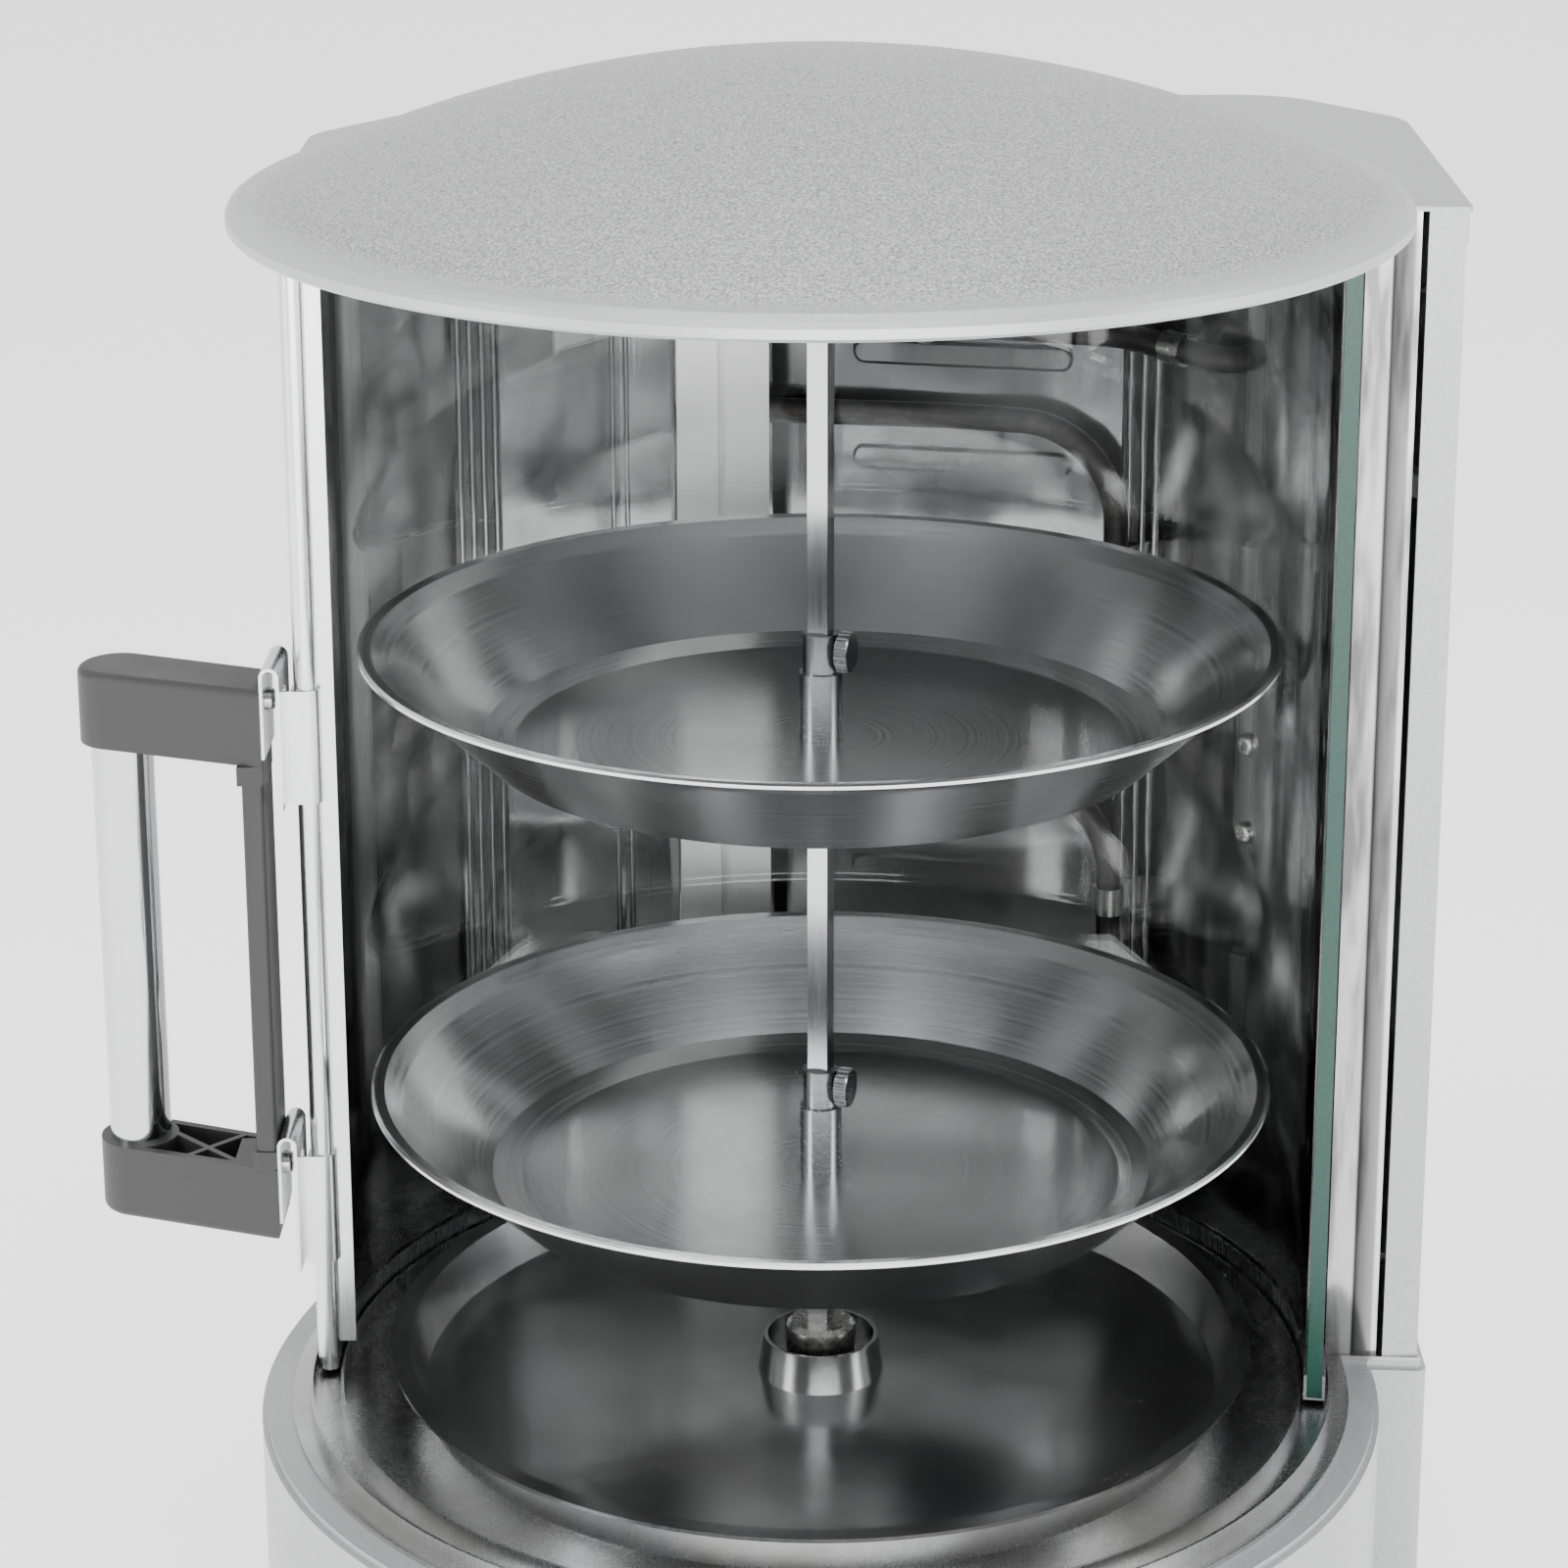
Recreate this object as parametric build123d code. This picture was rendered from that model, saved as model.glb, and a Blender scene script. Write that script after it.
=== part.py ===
from build123d import *
from math import cos, sin, radians, atan2, degrees, hypot
import os

# Vertical rotisserie oven, millimetres. The spit stands on the Z axis while the pieces are made and the
# door opening faces -Y. At the end everything moves so that the origin is the middle of the footprint.

# ---- driving dimensions -------------------------------------------------------------------------
PLATE_R = 116.0            # rim of the food plates
PLATE_DEPTH = 28.0
PLATE_T = 1.0
FOOT_H = 10.0
BASE_TOP = 96.8            # top of the base housing
FLOOR_T = 1.2
LOWER_RIM = 184.0          # rim height of the lower plate
PLATE_PITCH = 118.0
LID_RIM_Z = 410.0          # lower edge of the lid
LID_R = 144.0
LID_DOME = 31.0            # rise of the lid above its field edge
GLASS_R = 132.0            # outer radius of the door glass
GLASS_T = 4.0
DOOR_CLEAR = 0.8           # radial air between the door and its tracks
SHEET = 0.8                # reflectors
CASING_T = 1.0
BASE_R = 147.0
BASE_WALL = 2.0
SPIT_A = 5.3               # square spit, across the flats
SPIT_TURN = -19.3          # how the spit stands at rest, degrees
FIT = 0.05                 # radial air of a running fit
SLIP = 0.1                 # air on each side of a loose square
HEATER_R = 3.6
HEATER_BEND = 28.0
HEATER_PITCH = 26.4
HANDLE_SWEEP = 16.0        # how far the handle leans back from the door's radius, degrees
GRIP_R = 8.0
LIFT = 11.0                # travel that frees the spit from its socket
BACK_Y = 170.0             # rear face of the casing
COLUMN_X = 159.2           # right face of the wiring column
LEFT_X = 135.9             # left face of the casing

# ---- places that follow from them ---------------------------------------------------------------
FLOOR_Z = BASE_TOP + FLOOR_T
UPPER_RIM = LOWER_RIM + PLATE_PITCH
COVER_T = 1.2
WALL_TOP = LID_RIM_Z - 0.4 - COVER_T          # reflectors and casing end under the rear top cover
GLASS_IN = GLASS_R - GLASS_T
CARRIER_T = 0.8
TRACK_IN = GLASS_IN - CARRIER_T - DOOR_CLEAR   # outer face of the inner track wall
TRACK_OUT = GLASS_R + CARRIER_T + DOOR_CLEAR   # inner face of the outer track wall
TRACK_T = 0.8
TRACK_H = 4.0
FRAME_Z = LID_RIM_Z + 2.6                      # underside of the top frame
FRAME_T = 1.2
EDGE_R = (GLASS_R + GLASS_IN) / 2
TUBE_R = 3.0                                   # rolled edge of the door
RUNNER_H = 1.5
CARRIER_H = 7.0
GLASS_FROM, GLASS_TO = -9.0, 177.6             # the open door's glass, degrees about the spit
LIP = 5.1                                      # flat lip of the door's edge channel, into the chamber

parts = {}


def put(name, shape):
    """Keep a piece under its name."""
    parts[name] = shape


def polar(radius, angle):
    return (radius * cos(radians(angle)), radius * sin(radians(angle)))


def ring(outer, inner, z0, z1):
    """A flat ring or tube about the Z axis."""
    return Pos(0, 0, z0) * extrude(Circle(outer) - Circle(inner), amount=z1 - z0)


def rod(radius, z0, z1, x=0.0, y=0.0):
    return Pos(x, y, z0) * extrude(Circle(radius), amount=z1 - z0)


def block(x0, x1, y0, y1, z0, z1):
    """A box from its limits."""
    return Pos((x0 + x1) / 2, (y0 + y1) / 2, (z0 + z1) / 2) * Box(x1 - x0, y1 - y0, z1 - z0)


def sector(outer, inner, start, end, z0, z1):
    """A ring's part between two angles."""
    outline = Wire([
        CenterArc((0, 0), outer, start, end - start).edge(),
        Line(polar(outer, end), polar(inner, end)).edge(),
        CenterArc((0, 0), inner, end, start - end).edge(),
        Line(polar(inner, start), polar(outer, start)).edge(),
    ])
    return Pos(0, 0, z0) * extrude(Face(outline), amount=z1 - z0)


def mitred(points, thickness):
    """The points of a polyline moved sideways, to the left of its travel, by a sheet's thickness."""
    moved = []
    for i, (x, y) in enumerate(points):
        sides = []
        for a, b in ((i - 1, i), (i, i + 1)):
            if a >= 0 and b < len(points):
                dx, dy = points[b][0] - points[a][0], points[b][1] - points[a][1]
                length = hypot(dx, dy)
                sides.append((-dy / length, dx / length))
        nx = sum(s[0] for s in sides) / len(sides)
        ny = sum(s[1] for s in sides) / len(sides)
        scale = thickness / (nx * nx + ny * ny)
        moved.append((x + nx * scale, y + ny * scale))
    return moved


def folded(points, thickness, z0, z1):
    """A sheet folded along upright lines; the points are its chamber face, its thickness lies outside."""
    back = mitred(points, thickness)
    outline = make_face(Polyline(*points, *reversed(back), close=True))
    return Pos(0, 0, z0) * extrude(outline, amount=z1 - z0)


def revolved(points):
    """A closed outline of (radius, height) points turned about the Z axis."""
    outline = make_face(Plane.XZ * Polyline(*points, close=True))
    return revolve(outline, axis=Axis.Z)


def pan_screw(head_r, head_h, shank_r, shank_l):
    """A pan-head screw pointing down -Z, its head's seat at the origin, with a cross recess."""
    head = extrude(Circle(head_r), amount=head_h)
    head = fillet(head.edges().group_by(Axis.Z)[-1], head_h * 0.6)
    slot = Box(head_r * 1.1, head_r * 0.24, head_h * 0.7)
    head -= Pos(0, 0, head_h) * (slot + Rot(0, 0, 90) * slot)
    return head + Pos(0, 0, -shank_l) * extrude(Circle(shank_r), amount=shank_l)


# ---- outlines in plan ---------------------------------------------------------------------------
CASING_FRONT = 8.0         # front of the wiring column
LEFT_FRONT = 27.0          # front edge of the casing's left side
casing_points = [
    (-LEFT_X, LEFT_FRONT), (-LEFT_X, BACK_Y - 62), (-92, BACK_Y), (COLUMN_X - 29.2, BACK_Y),
    (COLUMN_X, BACK_Y - 38), (COLUMN_X, CASING_FRONT),
]


def body_outline(grow):
    """The rear body in plan, corners rounded, grown by an amount."""
    face = make_face(Polyline(*casing_points, close=True))
    corners = face.vertices().sort_by(Axis.Y)[2:]
    face = fillet(corners, 22)
    return offset(face, amount=grow) if grow else face


# ---- base ---------------------------------------------------------------------------------------
PANEL_Y = -137.0           # flat front of the base
PANEL_T = 1.5
PANEL_W, PANEL_H = 104.0, 68.0
PANEL_Z = 53.0
KNOB_X, KNOB_Z = 29.0, 47.0
SPINDLE_R = 3.0
LAMP_Z = 74.0
LAMP_R = 4.0
DRIVE_HOLE_R = 9.0
FOOT_R = 12.0
FOOT_XY = [(-92, -82), (92, -82), (-96, 118), (116, 118)]
GLAND_X, GLAND_Z, GLAND_R = -40.0, 36.0, 8.0

base_plan = Circle(BASE_R) + body_outline(2.5)
base_plan -= Pos(0, PANEL_Y - 40) * Rectangle(2 * BASE_R, 80)
STEP_H = 2.0
base_outer = Pos(0, 0, FOOT_H) * extrude(base_plan, amount=BASE_TOP - STEP_H - FOOT_H)
base_outer += Pos(0, 0, BASE_TOP - STEP_H) * extrude(offset(base_plan, amount=-1.4), amount=STEP_H)
base_void = Pos(0, 0, FOOT_H) * extrude(offset(base_plan, amount=-BASE_WALL), amount=BASE_TOP - BASE_WALL - FOOT_H)
base = base_outer - base_void
base -= rod(DRIVE_HOLE_R, BASE_TOP - 10, BASE_TOP + 1)
for x in (-KNOB_X, KNOB_X):
    base -= Pos(x, PANEL_Y, KNOB_Z) * Rot(90, 0, 0) * Cylinder(SPINDLE_R + 2, 12)
base -= Pos(0, PANEL_Y, LAMP_Z) * Rot(90, 0, 0) * Cylinder(LAMP_R + 0.6, 12)
base -= Pos(GLAND_X, BACK_Y, GLAND_Z) * Rot(90, 0, 0) * Cylinder(GLAND_R, 16)
for i in range(9):
    base -= Pos(20 + 9 * i, BACK_Y, 50) * Rot(90, 0, 0) * extrude(SlotOverall(34, 4, rotation=90), amount=8, both=True)
SUMP_X, SUMP_Y = 100.0, 119.0          # opening that leads the wires into the column
base -= Pos(SUMP_X + 24, SUMP_Y, BASE_TOP) * Box(22, 14, 12)
put("base_housing", base)

plate_plan = offset(base_plan, amount=-BASE_WALL - 0.3)
base_plate = Pos(0, 0, FOOT_H) * extrude(plate_plan, amount=1.5)
for x, y in FOOT_XY:
    base_plate -= rod(2.1, FOOT_H - 1, FOOT_H + 3, x, y)
for i in range(11):
    base_plate -= Pos(-50 + 10 * i, 60, FOOT_H) * extrude(SlotOverall(44, 4, rotation=90), amount=6, both=True)
put("base_plate", base_plate)

foot = revolved([(0, 0), (FOOT_R - 1, 0), (FOOT_R, 1), (FOOT_R - 1.6, FOOT_H), (0, FOOT_H)])
foot -= rod(4.4, -1, 5)
foot -= rod(2.1, 4, FOOT_H + 1)
put("feet", Compound(children=[Pos(x, y) * foot for x, y in FOOT_XY]))
foot_screw = Pos(0, 0, 5) * Rot(180, 0, 0) * pan_screw(3.8, 2.4, 1.9, 9.5)
put("foot_screws", Compound(children=[Pos(x, y) * foot_screw for x, y in FOOT_XY]))

panel = Pos(0, PANEL_Y, PANEL_Z) * Rot(90, 0, 0) * extrude(RectangleRounded(PANEL_W, PANEL_H, 7), amount=PANEL_T)
for x in (-KNOB_X, KNOB_X):
    panel -= Pos(x, PANEL_Y, KNOB_Z) * Rot(90, 0, 0) * Cylinder(SPINDLE_R + 1, 12)
panel -= Pos(0, PANEL_Y, LAMP_Z) * Rot(90, 0, 0) * Cylinder(LAMP_R + 0.1, 12)
put("control_panel", panel)

lens = Pos(0, PANEL_Y - PANEL_T - 1.4, LAMP_Z) * Rot(-90, 0, 0) * extrude(Circle(LAMP_R), amount=8)
lens = fillet(lens.edges().group_by(Axis.Y)[0], 1.6)
put("pilot_lens", lens)
put("pilot_lamp", Pos(0, PANEL_Y + 5.2, LAMP_Z) * Rot(-90, 0, 0) * (
    extrude(Circle(LAMP_R + 1.6), amount=12) + Pos(0, 0, 12) * extrude(Rectangle(6, 2), amount=6)))

KNOB_R, KNOB_L = 18.0, 17.0
knob_from = PANEL_Y - PANEL_T - 1.0    # back of the knobs
knob = extrude(Circle(KNOB_R), amount=4)
knob += Pos(0, 0, 4) * extrude(Circle(KNOB_R - 1.5), amount=KNOB_L - 6, taper=3)
knob = fillet(knob.edges().group_by(Axis.Z)[-1], 1.6)
grip_bar = Pos(0, 0, KNOB_L / 2 + 1) * Box(7.0, 2 * KNOB_R - 5, KNOB_L - 2)
knob += fillet(grip_bar.edges().filter_by(Axis.Y).group_by(Axis.Z)[-1], 1.8)
for i in range(24):
    knob -= Rot(0, 0, 15 * i) * Pos(KNOB_R + 0.5, 0, -1) * extrude(Circle(1.1), amount=4)
knob -= Pos(0, 0, -1) * extrude(Circle(SPINDLE_R + FIT) - Pos(0, SPINDLE_R) * Rectangle(8, 1.6), amount=11)
spindle = extrude(Circle(SPINDLE_R) - Pos(0, SPINDLE_R) * Rectangle(8, 1.8), amount=32)
CONTROL_Y = PANEL_Y + 3.5              # front of the timer and the switch
for name, x, size, depth in (("timer", KNOB_X, 46.0, 26.0), ("selector", -KNOB_X, 38.0, 22.0)):
    put(name + "_knob", Pos(x, knob_from, KNOB_Z) * Rot(90, 0, 0) * knob)
    put(name + "_spindle", Pos(x, knob_from - 9, KNOB_Z) * Rot(-90, 0, 0) * Rot(0, 0, 180) * spindle)
    case = Pos(x, CONTROL_Y + depth / 2, KNOB_Z) * Box(size, depth, size)
    case = fillet(case.edges().filter_by(Axis.Y), 4)
    case += Pos(x, CONTROL_Y + depth + 4, KNOB_Z) * Rot(-90, 0, 0) * extrude(Circle(size * 0.4), amount=6, both=True)
    case -= Pos(x, CONTROL_Y - 1, KNOB_Z) * Rot(-90, 0, 0) * extrude(Circle(SPINDLE_R + FIT), amount=21)
    for side in (-1, 1):
        case += Pos(x + side * size * 0.3, CONTROL_Y + depth + 3, KNOB_Z + size * 0.46) * Box(6, 9, 1)
    put(name + "_body", case)

# ---- drive --------------------------------------------------------------------------------------
SHAFT_R = 3.5
MOTOR_R, MOTOR_H, MOTOR_TOP = 27.0, 20.0, 80.0
SOCKET_R, SOCKET_Z0, SOCKET_Z1 = 9.0, FLOOR_Z + 1.6, FLOOR_Z + 15.0
SOCKET_DEPTH = 9.5
motor = rod(MOTOR_R, MOTOR_TOP - MOTOR_H, MOTOR_TOP)
motor = fillet(motor.edges().filter_by(GeomType.CIRCLE), 2)
motor += rod(MOTOR_R + 1.5, MOTOR_TOP - 12, MOTOR_TOP - 10.5)
motor += rod(8, MOTOR_TOP - 1, MOTOR_TOP + 2)
motor += block(-9, 9, MOTOR_R - 3, MOTOR_R + 9, MOTOR_TOP - 17, MOTOR_TOP - 6)
motor -= rod(SHAFT_R + FIT, MOTOR_TOP - 9, MOTOR_TOP + 3)
put("gearmotor", motor)
bracket = block(-44, 44, -18, 18, MOTOR_TOP + 2, MOTOR_TOP + 3.5) - rod(9.5, MOTOR_TOP, MOTOR_TOP + 6)
for x in (-38, 38):
    bracket += rod(4, MOTOR_TOP + 3.5, BASE_TOP - BASE_WALL, x, 0)
    bracket += block(x * 0.84 - 3, x * 0.84 + 3, -18, 18, MOTOR_TOP - 14, MOTOR_TOP + 2)
put("motor_bracket", bracket)
put("drive_shaft", rod(SHAFT_R, MOTOR_TOP - 8, SOCKET_Z0 + 3.9))
bush_top = FLOOR_Z + 1.4
put("floor_bush", ring(DRIVE_HOLE_R - 0.2, SHAFT_R + FIT, BASE_TOP - 8, BASE_TOP) + ring(
    DRIVE_HOLE_R - 1.2, SHAFT_R + FIT, BASE_TOP, bush_top))
socket = rod(SOCKET_R, SOCKET_Z0, SOCKET_Z1)
socket = chamfer(socket.edges().group_by(Axis.Z)[-1], 1.2)
socket -= Pos(0, 0, SOCKET_Z1 - SOCKET_DEPTH) * Rot(0, 0, SPIT_TURN) * extrude(
    Rectangle(SPIT_A + 2 * SLIP, SPIT_A + 2 * SLIP), amount=SOCKET_DEPTH + 1)
socket -= rod(SHAFT_R, SOCKET_Z0 - 1, SOCKET_Z0 + 3.9)
put("drive_socket", socket)

# ---- chamber floor and drip tray ----------------------------------------------------------------
floor_plan = Circle(139) + body_outline(1.0)
floor = Pos(0, 0, BASE_TOP) * extrude(floor_plan, amount=FLOOR_T)
floor += ring(TRACK_IN, TRACK_IN - TRACK_T, FLOOR_Z, FLOOR_Z + TRACK_H)
floor += ring(TRACK_OUT + TRACK_T, TRACK_OUT, FLOOR_Z, FLOOR_Z + TRACK_H)
floor -= rod(DRIVE_HOLE_R - 1, BASE_TOP - 1, FLOOR_Z + 1)
floor -= Pos(SUMP_X + 24, SUMP_Y, BASE_TOP) * Box(22, 14, 12)
put("chamber_floor", floor)

TRAY_R, TRAY_H, TRAY_T, CHIMNEY_R = 111.0, 13.0, 1.0, 14.0
tray = revolved([
    (CHIMNEY_R, FLOOR_Z), (TRAY_R - 6, FLOOR_Z), (TRAY_R - 2, FLOOR_Z + TRAY_H - 1), (TRAY_R + 2, FLOOR_Z + TRAY_H - 1),
    (TRAY_R + 2, FLOOR_Z + TRAY_H), (TRAY_R - 2.9, FLOOR_Z + TRAY_H), (TRAY_R - 6.9, FLOOR_Z + TRAY_T),
    (CHIMNEY_R + 2.5, FLOOR_Z + TRAY_T), (CHIMNEY_R + 1, FLOOR_Z + TRAY_H - 2), (CHIMNEY_R, FLOOR_Z + TRAY_H - 2),
])
put("drip_tray", tray)

# ---- reflectors, casing -------------------------------------------------------------------------
WALL_X = 141.9                         # chamber face of the right wall
LEFT_WALL_X = LEFT_X - 2.0
BACK_START = (-14.0, BACK_Y - 16.0)
BACK_END = (86.0, BACK_Y - 35.8)
FOLD_RIGHT = (97.0, BACK_Y - 47.5)
SIDE_TURN = (WALL_X, 62.0)
STOP_Y = 9.5                           # door stop flange beside the open door
bx, by = BACK_END[0] - BACK_START[0], BACK_END[1] - BACK_START[1]
back_len = hypot(bx, by)
along = (bx / back_len, by / back_len)           # along the back panel, to the right
inward = (along[1], -along[0])                   # from the back panel into the chamber
left_points = [
    (-LEFT_WALL_X, LEFT_FRONT), (-LEFT_WALL_X, BACK_Y - 70), (-105, BACK_Y - 39), (-92, BACK_Y - 29),
    (-58, BACK_Y - 21), (-42.2, BACK_Y - 19),
]


def beads(shape, start, end, count, z0, z1, radius=1.0):
    """Pressed upright beads, evenly spaced between two points of a sheet."""
    for i in range(count):
        t = (i + 0.5) / count
        shape += rod(radius, z0, z1, start[0] + t * (end[0] - start[0]), start[1] + t * (end[1] - start[1]))
    return shape


left = folded(left_points, SHEET, FLOOR_Z, WALL_TOP)
left = beads(left, left_points[2], left_points[3], 4, FLOOR_Z + 6, WALL_TOP - 6)
left = beads(left, (-62, BACK_Y - 21.9), (-54, BACK_Y - 20.5), 2, FLOOR_Z + 6, WALL_TOP - 6, 0.8)
put("reflector_left", left)

back = folded([(-41.8, BACK_Y - 19), BACK_START, BACK_END], SHEET, FLOOR_Z, WALL_TOP)
RIB_L, RIB_W, RIB_PITCH, RIB_Z, RIB_S = 64.0, 7.6, 30.8, 341.0, 55.6
panel_plane = Plane(
    origin=(BACK_START[0] + along[0] * RIB_S, BACK_START[1] + along[1] * RIB_S, RIB_Z),
    x_dir=(along[0], along[1], 0), z_dir=(inward[0], inward[1], 0))
rib = extrude(SlotOverall(RIB_L, RIB_W), amount=1.6, taper=35)
for i in range(-2, 8):
    back += panel_plane * Pos(0, RIB_PITCH * i * panel_plane.y_dir.Z * -1, -0.1) * rib
put("reflector_back", back)

right_points = [(BACK_END[0] + 0.4, BACK_END[1] - 0.3), FOLD_RIGHT, SIDE_TURN, (WALL_X, STOP_Y),
                (TRACK_OUT + TRACK_T + 0.4, STOP_Y)]
right = folded(right_points[:4], SHEET, FLOOR_Z, WALL_TOP)
right += block(right_points[4][0], COLUMN_X - 10.8, STOP_Y, STOP_Y + SHEET, FLOOR_Z, WALL_TOP)
right = beads(right, right_points[0], FOLD_RIGHT, 3, FLOOR_Z + 6, WALL_TOP - 6)
put_right = right

POST_Y = BACK_Y - 32.0
post_points = [(-41, BACK_Y - 20.6), (-41, POST_Y), (-29.2, POST_Y), (-29.2, POST_Y + 3.5), (-27.2, POST_Y + 3.5),
               (-27.2, POST_Y), (-14.7, POST_Y), (-14.7, POST_Y + 3)]
put("reflector_post", folded(list(reversed(post_points)), -SHEET, FLOOR_Z, WALL_TOP))

casing = extrude(body_outline(0) - body_outline(-CASING_T), amount=WALL_TOP - FLOOR_Z)
casing -= block(-LEFT_X + CASING_T, COLUMN_X - 12, -50, 60, -1, 400)
casing -= block(-150, COLUMN_X - 9.3, -50, LEFT_FRONT, -1, 400)
casing += block(COLUMN_X - 9.3, COLUMN_X, CASING_FRONT, CASING_FRONT + CASING_T, 0, WALL_TOP - FLOOR_Z)
put_casing = Pos(0, 0, FLOOR_Z) * casing

# ---- heater -------------------------------------------------------------------------------------
wall_x, wall_y = SIDE_TURN[0] - FOLD_RIGHT[0], SIDE_TURN[1] - FOLD_RIGHT[1]
wall_len = hypot(wall_x, wall_y)
WALL_DIR = (wall_x / wall_len, wall_y / wall_len)        # along the slanted right wall
WALL_OUT = (-WALL_DIR[1], WALL_DIR[0])                   # through it, out of the chamber
TERM_GAP = HEATER_R + 3.1                                # heater axis to the wall beside its ends
TERM_XY = (FOLD_RIGHT[0] + 0.455 * wall_x - TERM_GAP * WALL_OUT[0],
           FOLD_RIGHT[1] + 0.455 * wall_y - TERM_GAP * WALL_OUT[1])
HEATER_XY = [(84.0, BACK_Y - 46.0), (38.0, BACK_Y - 32.0), (-31.0, BACK_Y - 23.1)]
HEATER_TOP = 351.0
HEATER_Z = [HEATER_TOP, HEATER_TOP - HEATER_PITCH, 246.4, 246.4 - HEATER_PITCH, 150.0]


def bent(points, radii):
    """A path of straight runs with rounded corners, one radius for each inner point."""
    edges, last = [], Vector(*points[0])
    for i, radius in enumerate(radii, 1):
        here = Vector(*points[i])
        before = (Vector(*points[i - 1]) - here).normalized()
        after = (Vector(*points[i + 1]) - here).normalized()
        half = radians(before.get_angle(after)) / 2
        reach = radius * cos(half) / sin(half)
        start, end = here + before * reach, here + after * reach
        middle = (before + after).normalized()
        apex = here + middle * (radius / sin(half) - radius)
        if (start - last).length > 0.01:
            edges.append(Line(last, start).edge())
        edges.append(ThreePointArc(start, apex, end).edge())
        last = end
    edges.append(Line(last, Vector(*points[-1])).edge())
    return Wire(edges)


term_out = (TERM_XY[0] + 22 * WALL_OUT[0], TERM_XY[1] + 22 * WALL_OUT[1])
z1, z2, z3, z4, z5 = HEATER_Z
near, middle_xy, far = HEATER_XY
heater_points = [(*term_out, z1), (*TERM_XY, z1), (*near, z1), (*middle_xy, z1), (*far, z1), (*far, z2), (*middle_xy, z2),
                 (*near, z2), (*near, z3), (*middle_xy, z3), (*far, z3), (*far, z4), (*middle_xy, z4), (*near, z4),
                 (*near, z5), (*TERM_XY, z5), (*term_out, z5)]
turn = HEATER_PITCH / 2 - 0.02
heater_radii = [6, 14, 60, turn, turn, 60, HEATER_BEND, HEATER_BEND, 60, turn, turn, 60, HEATER_BEND, HEATER_BEND, 6]
heater_path = bent(heater_points, heater_radii)
heater = sweep(Plane(origin=heater_path @ 0, z_dir=heater_path % 0) * Circle(HEATER_R), path=heater_path)
put("heater_element", heater)

for z in (z1, z5):
    hole = Plane(origin=(*TERM_XY, z), z_dir=(*WALL_OUT, 0)) * extrude(Circle(HEATER_R + 0.3), amount=30)
    put_right -= hole


def wall_spot(share, z):
    """A plane on the slanted right wall, facing into the chamber."""
    x = FOLD_RIGHT[0] + share * (SIDE_TURN[0] - FOLD_RIGHT[0])
    y = FOLD_RIGHT[1] + share * (SIDE_TURN[1] - FOLD_RIGHT[1])
    return Plane(origin=(x, y, z), x_dir=(*WALL_DIR, 0), z_dir=(-WALL_OUT[0], -WALL_OUT[1], 0))


SCREW_R = 1.5
REFLECTOR_SCREWS = [wall_spot(0.53, 243), wall_spot(0.53, 217), wall_spot(0.40, 120), wall_spot(0.40, 388)]
reflector_screws = [spot * pan_screw(3.2, 2.2, SCREW_R, 8) for spot in REFLECTOR_SCREWS]
for spot in REFLECTOR_SCREWS:
    put_right -= spot * Pos(0, 0, -4) * Cylinder(SCREW_R, 8)
put("reflector_screws", Compound(children=reflector_screws))

clamps = []
for z, share in ((z1, 0.12), (z5, 0.12)):
    spot = wall_spot(share, z)
    run = Plane(origin=(near[0] + 12, near[1] - 13.8, z), z_dir=(28, -33, 0))
    clamp = run * (extrude(Circle(HEATER_R + 0.9), amount=8) + Pos(0, 0, 4) * Rot(0, 0, 0) * Box(1, 1, 1))
    clamp += spot * Pos(0, 0, -0.5) * Box(8, 3, 10)
    clamps.append(clamp)
for z in ((z2 + z3) / 2, (z4 + z5) / 2):
    spot = wall_spot(-0.08, z)
    clamp = rod(HEATER_R + 0.9, z - 4, z + 4, near[0], near[1])
    clamp += Plane(origin=(near[0], near[1], z), x_dir=(0, 0, 1), z_dir=(0.728, 0.685, 0)) * Pos(0, 0, 7) * Box(8, 3, 8)
    clamps.append(clamp)
clamps = [clamp - heater - put_right - rod(HEATER_R, z5, z1, near[0], near[1]) for clamp in clamps]
put("heater_clamps", Compound(children=[max(clamp.solids(), key=lambda s: s.volume) for clamp in clamps]))
put("reflector_right", put_right)

terminals = []
for z in (z1, z5):
    at = Plane(origin=(*term_out, z), z_dir=(*WALL_OUT, 0))
    terminals.append(at * (Pos(0, 0, -8) * extrude(Circle(5.2) - Circle(HEATER_R), amount=8) + extrude(
        Circle(5.2), amount=3) + Pos(0, 0, 3) * extrude(Rectangle(0.8, 6.3), amount=8)))
put("heater_terminals", Compound(children=terminals))
put("thermal_cutout", Pos(WALL_X + SHEET, 44, 330) * Rot(0, 90, 0) * (
    extrude(Circle(8), amount=8) + extrude(SlotOverall(30, 9), amount=1) + Pos(0, 4, 8) * extrude(
        Rectangle(6, 0.8), amount=5) + Pos(0, -4, 8) * extrude(Rectangle(6, 0.8), amount=5)))

# ---- casing details, terminal block, gland ------------------------------------------------------
for i in range(10):
    slot = Plane(origin=(-45 + 14 * i, BACK_Y - 3, 340), x_dir=(-1, 0, 0), z_dir=(0, 1, 0))
    put_casing -= slot * extrude(SlotOverall(40, 4, rotation=90), amount=6)
    slot = Plane(origin=(-45 + 14 * i, BACK_Y - 3, 150), x_dir=(-1, 0, 0), z_dir=(0, 1, 0))
    put_casing -= slot * extrude(SlotOverall(40, 4, rotation=90), amount=6)
casing_spots = [Plane(origin=(x, BACK_Y, z), x_dir=(1, 0, 0), z_dir=(0, 1, 0)) for x in (-70, 105) for z in (110, 250, 385)]
casing_spots += [Plane(origin=(COLUMN_X, 40, z), x_dir=(0, 1, 0), z_dir=(1, 0, 0)) for z in (112, 382)]
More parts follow.
